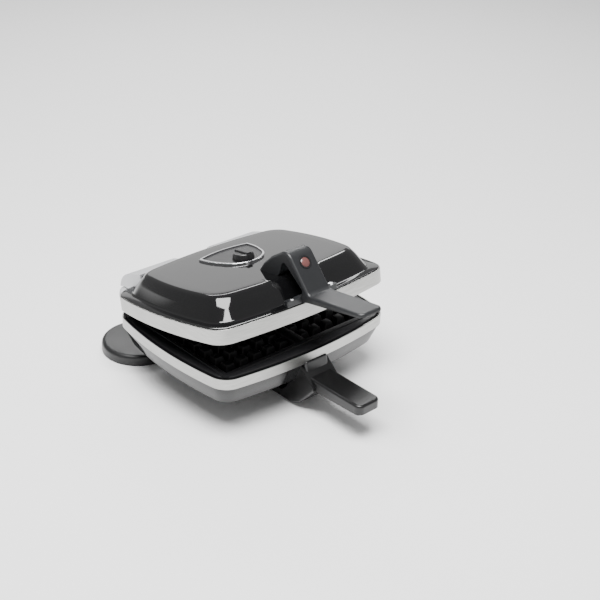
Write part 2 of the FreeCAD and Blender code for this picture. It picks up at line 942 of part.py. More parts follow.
def lamp_bezel():
    start = lamp_face - lamp_out * bezel_depth
    ring = rod(bezel_radius, start, lamp_out, bezel_depth + 0.6)
    return ring.cut(rod(lens_radius + 0.1, start - lamp_out, lamp_out, bezel_depth + 4))


def lamp_lens():
    start = lamp_face - lamp_out * (bezel_depth + 1.0)
    body = rod(lens_radius, start, lamp_out, bezel_depth + 1.0)
    dome_radius = (lens_radius**2 + lens_crown**2) / (2 * lens_crown)
    centre = lamp_face + lamp_out * (lens_crown - dome_radius)
    dome = Part.makeSphere(dome_radius, centre)
    cap = dome.common(rod(lens_radius, lamp_face, lamp_out, lens_crown + 1))
    return body.fuse(cap).removeSplitter()


def lamp_holder():
    start = lamp_face - lamp_out * (bezel_depth + 1.1)
    return rod(holder_radius, start, lamp_out * -1, lamp_pocket_depth - bezel_depth - 1.2)


# ---- Badge, panel, knob and thermostat ----
def badge_outline(inset, h):
    """A shield: a shallow arc at the rear, two flared sides and a round front."""
    w = badge_half_width - inset * 1.15
    tip_y = badge_tip_y - inset * 0.75
    rear_y = badge_rear_y - inset
    front_y = badge_front_y + inset
    join = V(w * 0.84, 12.7 + inset * 0.3, h)
    left_join = V(-join.x, join.y, h)
    tip = V(w, tip_y, h)
    left_tip = V(-w, tip_y, h)
    flare = V(w * 0.968, (tip_y + join.y) / 2 - 1.5, h)
    edges = [
        Part.Arc(tip, V(0, rear_y, h), left_tip).toShape(),
        Part.Arc(left_tip, V(-flare.x, flare.y, h), left_join).toShape(),
        Part.Arc(left_join, V(0, front_y, h), join).toShape(),
        Part.Arc(join, flare, tip).toShape(),
    ]
    return Part.Wire(edges)


def panel_rim():
    ring = prism(badge_outline(0, lid_height), badge_rim_height)
    ring = ring.makeFillet(0.8, edges_at(ring, lid_height + badge_rim_height))
    return ring.cut(prism(badge_outline(badge_rim_width, lid_height), badge_rim_height))


def control_panel():
    panel = prism(badge_outline(badge_rim_width + 0.1, lid_height), panel_thickness)
    return panel.cut(post(shaft_radius + 0.5, 0, knob_y, lid_height, lid_height + panel_thickness))


knob_base = lid_height + panel_thickness + 0.4


def thermostat_knob():
    """A round knob with a grip bar across its top."""
    disc = Part.makeCone(knob_radius, knob_radius - 1.2, knob_height - grip_height, V(0, knob_y, knob_base))
    disc = disc.makeFillet(knob_edge, edges_at(disc, knob_base + knob_height - grip_height))
    grip = box(
        -grip_width / 2,
        grip_width / 2,
        knob_y - knob_radius + 1.6,
        knob_y + knob_radius - 1.6,
        knob_base + 1,
        knob_base + knob_height,
    )
    grip = grip.makeFillet(1.2, edges_at(grip, knob_base + knob_height))
    knob = disc.fuse(grip).removeSplitter()
    return knob.cut(post(shaft_radius + press_gap, 0, knob_y, knob_base - 1, shaft_top))


shaft_top = knob_base + 5.5
thermostat_top = lid_height - wall


def thermostat_shaft():
    return post(shaft_radius, 0, knob_y, thermostat_top - thermostat_height + 1.0, shaft_top)


def thermostat():
    """The switch under the lid's top that the knob turns."""
    low = thermostat_top - thermostat_height
    body = post(thermostat_radius, 0, knob_y, low, thermostat_top)
    tags = [box(x - 2.4, x + 2.4, knob_y + 6.0, knob_y + 17.0, low + 1, low + 2) for x in (-6.0, 6.0)]
    body = fuse_all([body] + tags)
    return body.cut(post(shaft_radius + running_fit, 0, knob_y, low + 0.6, thermostat_top + 1))


# ---- Mains entry and wiring parts in the lower shell ----
def gland_start():
    return V(gland_x, half_depth - 24.0, -gland_drop)


def gland_hole():
    return rod(gland_radius, gland_start(), V(0, 1, 0), 30.0)


def cord_gland():
    """A bush through the back wall, its collar seated on the wall and its bore open at both ends."""
    start = gland_start()
    bush = rod(gland_radius - 0.1, start, V(0, 1, 0), gland_length)
    collar = rod(gland_radius + 2.0, start, V(0, 1, 0), gland_length - 2.0).cut(lower_outside())
    gland = bush.fuse(collar).removeSplitter()
    return gland.cut(rod(gland_bore, start - V(0, 1, 0), V(0, 1, 0), gland_length + 2.0))


terminal_size = (30.0, 16.0, 9.5)


def terminal_block():
    floor_h = -lower_depth + wall
    block = box(
        78.0, 78.0 + terminal_size[0], 58.0, 58.0 + terminal_size[1], floor_h, floor_h + terminal_size[2]
    )
    ways = [
        rod(2.0, V(78.0 + terminal_size[0] * (i + 0.5) / 3, 57.0, floor_h + 5.0), V(0, 1, 0), 20.0)
        for i in range(3)
    ]
    return block.cut(Part.makeCompound(ways))


def thermal_fuse():
    return rod(2.6, V(-14.0, 62.0, -tray_floor - tray_sheet - 2.6), V(1, 0, 0), 28.0)


# ---- Put the halves in place and write them out ----
def place(shape):
    shape.translate(V(0, centre_y, seam_height))
    return shape


def place_lid(shape):
    shape.rotate(V(0, axle_y, 0), V(-1, 0, 0), lid_ajar_deg)
    return place(shape)


fixed_parts = {
    "stand_body": stand_body,
    "stand_pads": stand_pads,
    "stand_post": stand_post,
    "post_screws": post_screws,
    "hinge_axle": hinge_axle,
    "lower_shell": lower_shell,
    "lower_band": lambda: band(-lower_band_end, -band_edge),
    "lower_plate": lower_plate,
    "lower_heater": lower_heater,
    "lower_tray": lower_tray,
    "lower_tray_screws": lower_tray_screws,
    "lower_plate_clips": lower_plate_clips,
    "lower_hinge_left": lambda: across(lower_hinge_right()),
    "lower_hinge_right": lower_hinge_right,
    "lower_hinge_screws": lower_hinge_screws,
    "lower_handle": lower_handle,
    "lower_handle_screws": lower_handle_screws,
    "foot_pad": foot_pad,
    "cord_gland": cord_gland,
    "terminal_block": terminal_block,
    "thermal_fuse": thermal_fuse,
}

lid_parts = {
    "lid_shell": lid_shell,
    "upper_band": lambda: band(band_edge, upper_band_end),
    "upper_plate": lambda: flipped(lower_plate()),
    "upper_heater": lambda: flipped(lower_heater()),
    "upper_tray": lambda: flipped(lower_tray()),
    "upper_tray_screws": lambda: flipped(lower_tray_screws()),
    "upper_plate_clips": lambda: flipped(lower_plate_clips()),
    "hinge_cover_left": lambda: across(hinge_cover_right()),
    "hinge_cover_right": hinge_cover_right,
    "upper_handle": upper_handle,
    "upper_handle_screws": upper_handle_screws,
    "lamp_bezel": lamp_bezel,
    "lamp_lens": lamp_lens,
    "lamp_holder": lamp_holder,
    "panel_rim": panel_rim,
    "control_panel": control_panel,
    "thermostat": thermostat,
    "thermostat_shaft": thermostat_shaft,
    "thermostat_knob": thermostat_knob,
}

for parts, put in ((fixed_parts, place), (lid_parts, place_lid)):
    for node, make in parts.items():
        shape = put(make())
        shape.exportStep(f"parts/{node}.step")
        print(node, len(shape.Solids), "solid(s)", round(shape.Volume / 1000, 2), "cm3", shape.isValid())
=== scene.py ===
# %% [markdown]
# # A flip-over waffle maker
# Two heated grid plates sit in black shells edged with steel bands. Both halves turn on one axle at the
# rear, carried by a stand with two round feet. We start from the imported model, which fixes every place and
# size, then model the shells, bands and plates again with soft edges and give everything a finish.

# %% Load the fixed frame
import json
import math

import bpy
import bmesh
from mathutils import Matrix, Vector


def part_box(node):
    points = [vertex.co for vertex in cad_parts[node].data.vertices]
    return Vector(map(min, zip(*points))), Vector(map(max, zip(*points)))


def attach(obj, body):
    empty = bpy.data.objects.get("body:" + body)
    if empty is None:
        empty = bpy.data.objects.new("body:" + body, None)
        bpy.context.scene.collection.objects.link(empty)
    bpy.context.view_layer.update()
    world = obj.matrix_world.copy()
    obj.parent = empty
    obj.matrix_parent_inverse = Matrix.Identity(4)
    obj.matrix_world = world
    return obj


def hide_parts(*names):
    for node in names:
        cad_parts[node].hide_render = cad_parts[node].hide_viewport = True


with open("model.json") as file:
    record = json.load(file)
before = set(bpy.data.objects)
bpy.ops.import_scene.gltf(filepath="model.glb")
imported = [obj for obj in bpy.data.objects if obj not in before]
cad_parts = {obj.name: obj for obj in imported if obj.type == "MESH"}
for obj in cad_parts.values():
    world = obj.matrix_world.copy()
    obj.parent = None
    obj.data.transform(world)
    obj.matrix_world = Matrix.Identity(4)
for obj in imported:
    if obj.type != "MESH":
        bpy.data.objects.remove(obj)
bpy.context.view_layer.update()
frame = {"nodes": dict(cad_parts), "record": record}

# %% [markdown]
# ## Where things are
# The joints tell us where the axle runs and how far the lid rests open. The lower plate tells us the middle
# of the machine. All pieces of the lid are drawn shut, which is far easier, and then hung on the axle.

# %% Places and sizes read from the frame
MM = 0.001
hinge = next(j for j in frame["record"]["behaviour"]["joints"] if j["name"] == "lid_hinge")
axle = Vector(hinge["pos_m"])
ajar = -math.radians(hinge["range_deg"][0])
seam = axle.z
plate_low, plate_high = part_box("lower_plate")
middle_y = (plate_low.y + plate_high.y) / 2
half_width = (plate_high.x - plate_low.x) / 2
half_depth = (plate_high.y - plate_low.y) / 2
LIFT = Matrix.Translation(axle) @ Matrix.Rotation(-ajar, 4, "X") @ Matrix.Translation(-axle)
print("axle", tuple(round(v, 4) for v in axle), "lid open", round(math.degrees(ajar), 2), "degrees")

# %% [markdown]
# ## The camera
# The machine is seen with a long lens, from in front and a little above, and from the left of someone who
# stands at its handles. The position is given from the middle of the plates, in the directions of a camera
# that looks at them.

# %% Place the camera
azimuth, elevation, roll = math.radians(-43.2018), math.radians(28.1119), math.radians(-2.0749)
TO_RIGHT, TO_TOP, DISTANCE = 56.815, 17.563, 1391.84
back = Vector(
    (math.sin(azimuth) * math.cos(elevation), -math.cos(azimuth) * math.cos(elevation), math.sin(elevation))
)
right = Vector((math.cos(azimuth), math.sin(azimuth), 0))
up = back.cross(right)
aim = Vector((0, middle_y, seam - 1.35 * MM))
bpy.ops.object.camera_add(location=aim + (right * TO_RIGHT + up * TO_TOP + back * DISTANCE) * MM)
camera = bpy.context.object
camera.name = "camera"
turned_right = right * math.cos(roll) - up * math.sin(roll)
turned_up = right * math.sin(roll) + up * math.cos(roll)
camera.rotation_euler = Matrix((turned_right, turned_up, back)).transposed().to_euler()
camera.data.lens = 68.566
camera.data.sensor_width = 36
camera.data.clip_end = 20
bpy.context.scene.camera = camera
print("camera at", tuple(round(v, 3) for v in camera.location))

# %% [markdown]
# ## The room
# A pale floor and three soft lights: a large one overhead, a long one behind the machine, and a dim wide one
# lower and further back, which stands for a pale card. Black gloss shows only what it mirrors. From the
# camera the lid's flat top mirrors the card, and its near corner mirrors the light overhead.

# %% Floor and lights
bpy.ops.mesh.primitive_plane_add(size=14, location=(0, 0, 0))
floor = bpy.context.object
floor.name = "floor"


def area_light(name, place, target, size, power):
    """A rectangular soft light at place, turned to face target."""
    bpy.ops.object.light_add(type="AREA", location=place)
    light = bpy.context.object
    light.name = name
    light.data.shape = "RECTANGLE"
    light.data.size, light.data.size_y = size
    light.data.energy = power
    light.rotation_euler = (Vector(target) - Vector(place)).to_track_quat("-Z", "Y").to_euler()


area_light("overhead", (-0.35, -0.25, 1.9), (0.0, 0.0, 0.05), (1.3, 1.0), 95)
area_light("rear_softbox", (1.15, 1.35, 1.25), (0, 0, 0.1), (1.3, 0.3), 16)
area_light("rear_card", (1.7, 1.9, 0.55), (0, 0, 0.1), (2.2, 0.5), 4)
world = bpy.data.worlds.new("studio")
bpy.context.scene.world = world
world.use_nodes = True
world.node_tree.nodes["Background"].inputs["Color"].default_value = (1, 1, 1, 1)
world.node_tree.nodes["Background"].inputs["Strength"].default_value = 0.42

# %% [markdown]
# ## Finishes
# Each finish starts from the real material and the way its surface was made. One function turns a colour
# as it is seen on a screen into the linear numbers the shader wants, and one adds a node with its settings
# and links. Patterns are sized in millimetres, on object coordinates.


# %% Colour and node helpers
PATCH = 45


def colour(code):
    """The linear colour of an sRGB hex code such as "#1a1a1b"."""
    parts = [int(code[i : i + 2], 16) / 255 for i in (1, 3, 5)]
    return (*[p / 12.92 if p <= 0.04045 else ((p + 0.055) / 1.055) ** 2.4 for p in parts], 1)


def add(material, kind, settings=None, **inputs):
    """Adds a node; inputs are values, or (node, output) pairs to link. Underscores stand for spaces."""
    made = material.node_tree.nodes.new(kind)
    for key, value in (settings or {}).items():
        setattr(made, key, value)
    for key, value in inputs.items():
        numbered = key[0] == "i" and key[1:].isdigit()
        socket = made.inputs[int(key[1:]) if numbered else key.replace("_", " ")]
        if isinstance(value, tuple) and isinstance(value[0], bpy.types.Node):
            material.node_tree.links.new(value[0].outputs[value[1]], socket)
        else:
            socket.default_value = value
    return made


def finish(name, **constants):
    """A new material; constants are set on its shader's own sockets."""
    material = bpy.data.materials.new(name)
    material.use_nodes = True
    shader = material.node_tree.nodes["Principled BSDF"]
    for key, value in constants.items():
        shader.inputs[key.replace("_", " ")].default_value = value
    where = add(material, "ShaderNodeTexCoord")
    return material, shader, where


def per_mm(size):
    """Texture scale that gives a feature about this many millimetres across."""
    return 1000 / size


def grain(material, shader, where, size, height, roughness, base=None, detail=3.0, stretch=None):
    """A fine surface: noise of this size in mm for bump and roughness, and a faint change of colour."""
    source = (where, "Object")
    if stretch:
        source = (add(material, "ShaderNodeMapping", Vector=source, Scale=stretch), "Vector")
    noise = add(material, "ShaderNodeTexNoise", Vector=source, Scale=per_mm(size), Detail=detail)
    bump = add(material, "ShaderNodeBump", Strength=1.0, Distance=height * MM, Height=(noise, "Fac"))
    wide = add(material, "ShaderNodeTexNoise", Vector=(where, "Object"), Scale=per_mm(PATCH), Detail=2.0)
    rough = add(
        material, "ShaderNodeMapRange", Value=(wide, "Fac"), From_Min=0.3, From_Max=0.7,
        To_Min=roughness[0], To_Max=roughness[1],
    )
    links = material.node_tree.links
    links.new(bump.outputs["Normal"], shader.inputs["Normal"])
    links.new(rough.outputs["Result"], shader.inputs["Roughness"])
    if base:
        mix = add(
            material, "ShaderNodeMix", {"data_type": "RGBA"}, Factor=(noise, "Fac"),
            i6=colour(base[0]), i7=colour(base[1]),
        )
        links.new(mix.outputs[2], shader.inputs["Base Color"])


# %% [markdown]
# Phenolic, pressed in a polished mould, is a deep black with a sharp mirror. A very low, wide ripple keeps
# its reflections from being perfect.

# %% Polished phenolic, for both shells
gloss_phenolic, shader, where = finish("polished_black_phenolic", IOR=1.55)
grain(gloss_phenolic, shader, where, 14, 0.012, (0.05, 0.09), ("#0a0a0b", "#0d0d0e"), detail=1.0)

# %% [markdown]
# Brushed stainless strip: hair-fine scratches run along its length, so the grain is stretched level and
# squeezed in height. The real scratches are a few hundredths of a millimetre wide. These are far coarser,
# about half a millimetre, and still don't show at the camera's distance.

# %% Brushed stainless steel, for the bands
brushed_steel, shader, where = finish("brushed_stainless_strip", Metallic=1.0, Anisotropic=0.55)
grain(brushed_steel, shader, where, 8, 0.02, (0.27, 0.36), ("#8f8f8d", "#c6c6c3"), stretch=(0.5, 0.5, 14))

# %% [markdown]
# Cast aluminium with a sprayed non-stick coat: black, fairly matte, with the pimples of the spray and of
# the casting under it.

# %% Non-stick coat, for the plates
nonstick, shader, where = finish("sprayed_nonstick_coat", IOR=1.45)
grain(nonstick, shader, where, 0.9, 0.03, (0.34, 0.44), ("#151516", "#1d1d1f"))

# %% [markdown]
# Glass-filled nylon from a spark-eroded mould: charcoal and satin, with an even fine texture.

# %% Moulded plastics for the handles and the stand
handle_plastic, shader, where = finish("textured_nylon_charcoal", IOR=1.53)
grain(handle_plastic, shader, where, 0.7, 0.02, (0.36, 0.44), ("#17181a", "#1e1f21"))
stand_plastic, shader, where = finish("textured_nylon_black", IOR=1.53)
grain(stand_plastic, shader, where, 0.7, 0.02, (0.38, 0.46), ("#0b0b0c", "#111112"))
# The lower handle is the same charcoal nylon, drawn darker as painted shade for the shade it sits in under
# the lid, and a little smoother.
lower_handle_painted_shade, shader, where = finish("nylon_charcoal_painted_shade", IOR=1.53)
grain(lower_handle_painted_shade, shader, where, 0.7, 0.015, (0.3, 0.38), ("#0a0a0b", "#101011"))

# %% [markdown]
# Die-cast zinc under silver lacquer: the metal flakes make a soft, slightly grainy grey.

# %% Silver lacquer, for the hinge covers and knuckles
silver, shader, where = finish("silver_lacquer_on_zinc", Metallic=0.55)
grain(silver, shader, where, 0.5, 0.01, (0.38, 0.46), ("#b3b4b6", "#c9cacc"))

# %% [markdown]
# The small pieces: polished chrome, dark panel, red lens, rubber, plain steel, sheet aluminium,
# painted steel and ceramic, and the pale floor.

# %% Finishes for the small pieces
chrome, shader, where = finish("polished_chrome_plate", Metallic=1.0)
grain(chrome, shader, where, 6, 0.004, (0.08, 0.14), ("#dcdcde", "#ececee"))
panel_black, shader, where = finish("satin_black_abs", IOR=1.54)
grain(panel_black, shader, where, 0.8, 0.01, (0.24, 0.32), ("#111112", "#18181a"))
red_lens, shader, where = finish("dull_red_polycarbonate", IOR=1.58, Coat_Weight=0.4, Coat_Roughness=0.08)
grain(red_lens, shader, where, 1.6, 0.05, (0.16, 0.26), ("#5a3634", "#6d4441"))
rubber, shader, where = finish("moulded_rubber_black", IOR=1.52)
grain(rubber, shader, where, 0.5, 0.03, (0.7, 0.85), ("#141414", "#1c1c1c"))
plain_steel, shader, where = finish("drawn_steel", Metallic=1.0)
grain(plain_steel, shader, where, 1.2, 0.01, (0.3, 0.4), ("#8f8f8d", "#b5b5b2"))
sheet_aluminium, shader, where = finish("rolled_aluminium_sheet", Metallic=1.0)
grain(sheet_aluminium, shader, where, 3, 0.01, (0.3, 0.42), ("#b9babb", "#d2d3d4"), stretch=(8, 0.6, 1))
painted_steel, shader, where = finish("powder_coated_steel_black", IOR=1.5)
grain(painted_steel, shader, where, 1.1, 0.04, (0.42, 0.52), ("#121213", "#19191a"))
ceramic, shader, where = finish("unglazed_steatite", IOR=1.6)
grain(ceramic, shader, where, 0.6, 0.02, (0.6, 0.75), ("#cfc9b8", "#ddd8c8"))
pale_floor, shader, where = finish("matte_white_paper", IOR=1.3, Specular_IOR_Level=0.2)
grain(pale_floor, shader, where, 4, 0.005, (0.75, 0.85), ("#fafafa", "#fdfdfd"))
floor.data.materials.append(pale_floor)
print("finishes", len(bpy.data.materials))

# %% [markdown]
# ## Finishes on the frame's own nodes
# Every node is given a finish, also the ones that the shells hide.

# %% Give each CAD node its finish
node_finish = {
    "stand_body": stand_plastic, "stand_pads": rubber, "stand_post": painted_steel,
    "post_screws": plain_steel, "hinge_axle": plain_steel, "lower_shell": gloss_phenolic,
    "lower_band": brushed_steel, "lower_plate": nonstick, "lower_heater": plain_steel,
    "lower_tray": sheet_aluminium, "lower_tray_screws": plain_steel, "lower_plate_clips": plain_steel,
    "lower_hinge_left": silver, "lower_hinge_right": silver, "lower_hinge_screws": plain_steel,
    "lower_handle": lower_handle_painted_shade, "lower_handle_screws": plain_steel, "foot_pad": rubber,
    "cord_gland": rubber, "terminal_block": ceramic, "thermal_fuse": ceramic,
    "lid_shell": gloss_phenolic, "upper_band": brushed_steel, "upper_plate": nonstick,
    "upper_heater": plain_steel, "upper_tray": sheet_aluminium, "upper_tray_screws": plain_steel,
    "upper_plate_clips": plain_steel, "hinge_cover_left": silver, "hinge_cover_right": silver,
    "upper_handle": handle_plastic, "upper_handle_screws": chrome, "lamp_bezel": panel_black,
    "lamp_lens": red_lens, "lamp_holder": panel_black, "panel_rim": chrome,
    "control_panel": panel_black, "thermostat": plain_steel, "thermostat_shaft": plain_steel,
    "thermostat_knob": panel_black,
}
for node, made in node_finish.items():
    mesh = frame["nodes"][node].data
    mesh.materials.clear()
    mesh.materials.append(made)
print("nodes with a finish", len(node_finish), "of", len(frame["nodes"]))

# %% [markdown]
# ## Drawing tools for the new pieces
# The shells, bands and plates share one plan: a rectangle whose four sides bow outwards and whose corners
# are round. A circle primitive is laid out on that plan at each level, and the levels are bridged, as one
# lofts a form by hand. Two rings in one plane can be bridged to the wrong points of each other; where that
# happened, the two were given heights that differ a little.


# %% The plan and the loft
SIDE_STEPS, CORNER_STEPS, FRONT_STEPS = 14, 9, 18
SIDE_RADIUS, FRONT_RADIUS, CORNER_RADIUS, SMALLEST_CORNER = 493, 675, 20, 3
SHELL_REACH = 3.0
SKIRT_START = 2.65
LOWER_BAND_END = 14.75
UPPER_BAND_END = 18.95
BAND_START = 1.35
WALL = 2.0


def bowed_plan(half_x, half_y, side_radius, front_radius, corner_radius):
    """Points (x, y) in mm round a bowed rectangle, from the middle of its right side, anticlockwise."""
    gap_x, gap_y = side_radius - half_x, front_radius - half_y
    span = math.hypot(gap_x, gap_y)
    along = (span**2 + (side_radius - corner_radius) ** 2 - (front_radius - corner_radius) ** 2) / (2 * span)
    out = math.sqrt((side_radius - corner_radius) ** 2 - along**2)
    unit = (gap_x / span, -gap_y / span)
    corner = (-gap_x + unit[0] * along - unit[1] * out, unit[1] * along + unit[0] * out)
    first = math.atan2(corner[1], corner[0] + gap_x)
    second = math.atan2(corner[1] + gap_y, corner[0])
    quarter = []
    for centre, radius, start, end, count in (
        ((-gap_x, 0), side_radius, 0, first, SIDE_STEPS),
        (corner, corner_radius, first, second, CORNER_STEPS),
        ((0, -gap_y), front_radius, second, math.pi / 2, FRONT_STEPS),
    ):
        for i in range(count):
            angle = start + (end - start) * i / count
            quarter.append((centre[0] + radius * math.cos(angle), centre[1] + radius * math.sin(angle)))
    quarter.append((0, half_y))
    back_again = quarter[:0:-1]
    return (
        quarter[:-1]
        + [(-x, y) for x, y in back_again]
        + [(-x, -y) for x, y in quarter[:-1]]
        + [(x, -y) for x, y in back_again]
    )


def body_plan(reach, corner=None):
    """The plates' plan let out by reach mm, or taken in where it is negative."""
    return bowed_plan(
        half_width / MM + reach,
        half_depth / MM + reach,
        SIDE_RADIUS + reach,
        FRONT_RADIUS + reach,
        corner or CORNER_RADIUS + max(reach, SMALLEST_CORNER - CORNER_RADIUS),
    )


def level(plan, height):
    """A plan put at a height in mm above the seam, in metres and in the frame's place."""
    return [(x * MM, y * MM + middle_y, height * MM + seam) for x, y in plan]


def pick(obj, wanted):
    """Selects, in edit mode, the edges between the vertices that wanted(co, index) names.

    Everything is cleared first and nothing after, since clearing an edge also clears the ends it shares.
    """
    bpy.ops.mesh.select_mode(type="EDGE")
    bpy.ops.mesh.select_all(action="DESELECT")
    mesh = bmesh.from_edit_mesh(obj.data)
    mesh.verts.index_update()
    named = {vertex for vertex in mesh.verts if wanted(vertex.co, vertex.index)}
    for edge in mesh.edges:
        if edge.verts[0] in named and edge.verts[1] in named:
            edge.select = True
    bmesh.update_edit_mesh(obj.data)


def add_rings(name, rings):
    """One object that holds a circle primitive for each ring, its vertices laid on the ring's points."""
    bpy.ops.object.select_all(action="DESELECT")
    for i, points in enumerate(rings):
        bpy.ops.mesh.primitive_circle_add(vertices=len(points), radius=0.1, location=(0, 0, 0))
        if i == 0:
            obj = bpy.context.object
            obj.name = obj.data.name = name
            bpy.ops.object.mode_set(mode="EDIT")
        mesh = bmesh.from_edit_mesh(obj.data)
        mesh.verts.ensure_lookup_table()
        for vertex, place in zip(mesh.verts[-len(points) :], points):
            vertex.co = place
        bmesh.update_edit_mesh(obj.data)
    return obj


def loft(name, rings, closed=False):
    """A skin over rings of equal counts. The last ring is filled, or joined to the first if closed."""
    obj = add_rings(name, rings)
    count = len(rings[0])
    pairs = [(i, i + 1) for i in range(len(rings) - 1)] + ([(len(rings) - 1, 0)] if closed else [])
    for first, second in pairs:
        pick(obj, lambda co, index: index // count in (first, second))
        bpy.ops.mesh.bridge_edge_loops()
    if not closed:
        pick(obj, lambda co, index: index // count == len(rings) - 1)
        bpy.ops.mesh.edge_face_add()
    bpy.ops.mesh.select_all(action="SELECT")
    bpy.ops.mesh.normals_make_consistent(inside=False)
    return obj


def bevel_at(obj, wanted, width, segments):
    """Rounds the edges between the wanted vertices by width mm."""
    pick(obj, wanted)
    bpy.ops.mesh.bevel(offset=width * MM, segments=segments, profile=0.5, clamp_overlap=True)


def on_plan(plan, height):
    """A test for pick: does a vertex lie on this plan at this height?"""
    places = {tuple(round(v, 5) for v in p) for p in level(plan, height)}
    return lambda co, index: tuple(round(v, 5) for v in co) in places


def done(obj, body, material, nodes=(), angle=35, lifted=False, wall=None):
    bpy.ops.object.mode_set(mode="OBJECT")
    bpy.ops.object.select_all(action="DESELECT")
    obj.select_set(True)
    bpy.context.view_layer.objects.active = obj
    if wall:
        sheet = obj.modifiers.new("wall", "SOLIDIFY")
        sheet.thickness = wall * MM
        sheet.offset = -1
        sheet.use_even_offset = True
        bpy.ops.object.modifier_apply(modifier=sheet.name)
    if lifted:
        obj.matrix_world = LIFT @ obj.matrix_world
        bpy.ops.object.transform_apply(location=True, rotation=True, scale=True)
    bpy.ops.object.shade_smooth_by_angle(angle=math.radians(angle))
    obj.data.materials.clear()
    obj.data.materials.append(material)
    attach(obj, body)
    if nodes:
        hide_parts(*nodes)
    print(obj.name, len(obj.data.polygons), "faces")


# %% [markdown]
# ## The lid shell
# A deep tray of pressed phenolic: an upright skirt inside the steel band, an almost level lip above the
# band's edge, and four walls that rise steeply, turn at a shoulder and roll over into a flat top. It could
# be carved from a box, but a loft through its levels keeps the bow of every side exact.

# %% Loft the lid shell
LIP_EDGE, LIP, SHOULDER, LID_TOP, LID_CROWN = 20.1, 20.3, 36.0, 45.2, 45.3
lid_skirt_plan = body_plan(SHELL_REACH)
lid_foot_plan = body_plan(-8.0, 28)
lid_shoulder_plan = bowed_plan(119.5, 92, 300, 500, 26)
lid_top_plan = bowed_plan(113, 83, 300, 500, 26)
lid_inner_plan = bowed_plan(98, 68, 300, 500, 14)
lid = loft(
    "lid_shell_gloss",
    [
        level(lid_skirt_plan, SKIRT_START),
        level(lid_skirt_plan, LIP_EDGE),
        level(lid_foot_plan, LIP),
        level(lid_shoulder_plan, SHOULDER),
        level(lid_top_plan, LID_TOP),
        level(lid_inner_plan, LID_CROWN),
    ],
)
for plan, height, rounding, segments in (
    (lid_top_plan, LID_TOP, 4.2, 10),
    (lid_shoulder_plan, SHOULDER, 3.4, 8),
    (lid_foot_plan, LIP, 2.2, 5),
    (lid_skirt_plan, LIP_EDGE, 0.8, 3),
):
    bevel_at(lid, on_plan(plan, height), rounding, segments)
done(lid, "lid", gloss_phenolic, ["lid_shell"], lifted=True, wall=WALL)

# %% [markdown]
# ## The lower shell
# The same plan, turned over: a skirt inside the lower band and steep walls down to a rounded bottom.

# %% Loft the lower shell
BOTTOM, BOTTOM_CROWN = -43.5, -43.6
bottom_skirt_plan = body_plan(SHELL_REACH)
bottom_plan = body_plan(-8.0, 20)
bottom_inner_plan = body_plan(-30.0, 14)
bottom = loft(
    "lower_shell_gloss",
    [
        level(bottom_skirt_plan, -SKIRT_START),
        level(bottom_skirt_plan, -LOWER_BAND_END),
        level(bottom_plan, BOTTOM),
        level(bottom_inner_plan, BOTTOM_CROWN),
    ],
)
bevel_at(bottom, on_plan(bottom_plan, BOTTOM), 7.0, 10)
done(bottom, "lower_unit", gloss_phenolic, ["lower_shell"], wall=WALL)

# %% [markdown]
# ## The steel bands
# A strip of stainless steel is wrapped round each half. It is a closed hoop with its edges barely broken,
# as on a cut strip that has been deburred. Each row of the profile is how far out a point stands and how
# far it is from the strip's edge.


# %% Hoop for each half
BAND_PROFILE = ((4.4, 0.35), (4.2, 0.08), (3.9, 0.0), (3.2, 0.1))


def band(name, low_edge, high_edge):
    """A strip 1.2 mm thick whose outer edges are broken by two small slopes."""
    low_rings = [level(body_plan(reach), low_edge + inset) for reach, inset in BAND_PROFILE]
    high_rings = [level(body_plan(reach), high_edge - inset) for reach, inset in BAND_PROFILE]
    return loft(name, low_rings[:1] + high_rings + low_rings[:0:-1], closed=True)


lower_hoop = band("lower_band_hoop", -LOWER_BAND_END, -BAND_START)
done(lower_hoop, "lower_unit", brushed_steel, ["lower_band"])
upper_hoop = band("upper_band_hoop", BAND_START, UPPER_BAND_END)
done(upper_hoop, "lid", brushed_steel, ["upper_band"], lifted=True)

# %% [markdown]
# ## The grid plates
# Each plate is cast aluminium: a flat rim with a shallow groove, and two sunk fields of forty pyramids each,
# with soft edges. One field starts as a grid primitive whose lines are moved to the feet of the pyramids.
# Insetting those squares and raising them in the same step makes the sloping sides. The rim is a loft. The
# two fields are laid edge to edge inside its groove and not welded to it, so the plate is three open sheets.
# Sizes are in millimetres, from the middle of the plate and from the seam.

# %% One field of pyramids
PITCH = 20.0
COLUMNS, ROWS = 5, 8
STUD_HALF, STUD_INSET, STUD_RISE, STUD_ROUND = 7.85, 2.55, 11.0, 1.7
EDGE_RUN = 3.0
EDGE_STEPS = ((2.2, 11.2), (0.3, 0.5), (0.4, 0.5), (0.5, 0.3))
NEAR = 2
FIRST = 16.35
FLOOR = -13.15
RIM = -0.65
FIELD_Y = 87.8
FIELD_IN = 6.5
FIELD_OUT = 112.75
GROOVE_X = FIELD_OUT + 6.0
GROOVE_Y = FIELD_Y + 6.0
GROOVE_DEPTH = 0.9
STRAIGHT = 9e4
PLATE_BACK, PAN_STEP, PAN_START, PAN_BOTTOM = -5.65, -5.9, -6.9, -17.15


def widen_edge(field, middle, half, grow, rise):
    """Draws the open edge of a field upwards by rise and outwards by grow."""
    bpy.ops.mesh.select_all(action="DESELECT")
    mesh = bmesh.from_edit_mesh(field.data)
    for edge in [e for e in mesh.edges if e.is_boundary]:
        edge.select = True
    bmesh.update_edit_mesh(field.data)
    bpy.ops.mesh.extrude_edges_move(TRANSFORM_OT_translate={"value": (0, 0, rise * MM)})
    bpy.ops.transform.resize(
        value=((half[0] + grow) / half[0], (half[1] + grow) / half[1], 1),
        center_override=(middle[0] * MM, middle[1] * MM, 0),
    )


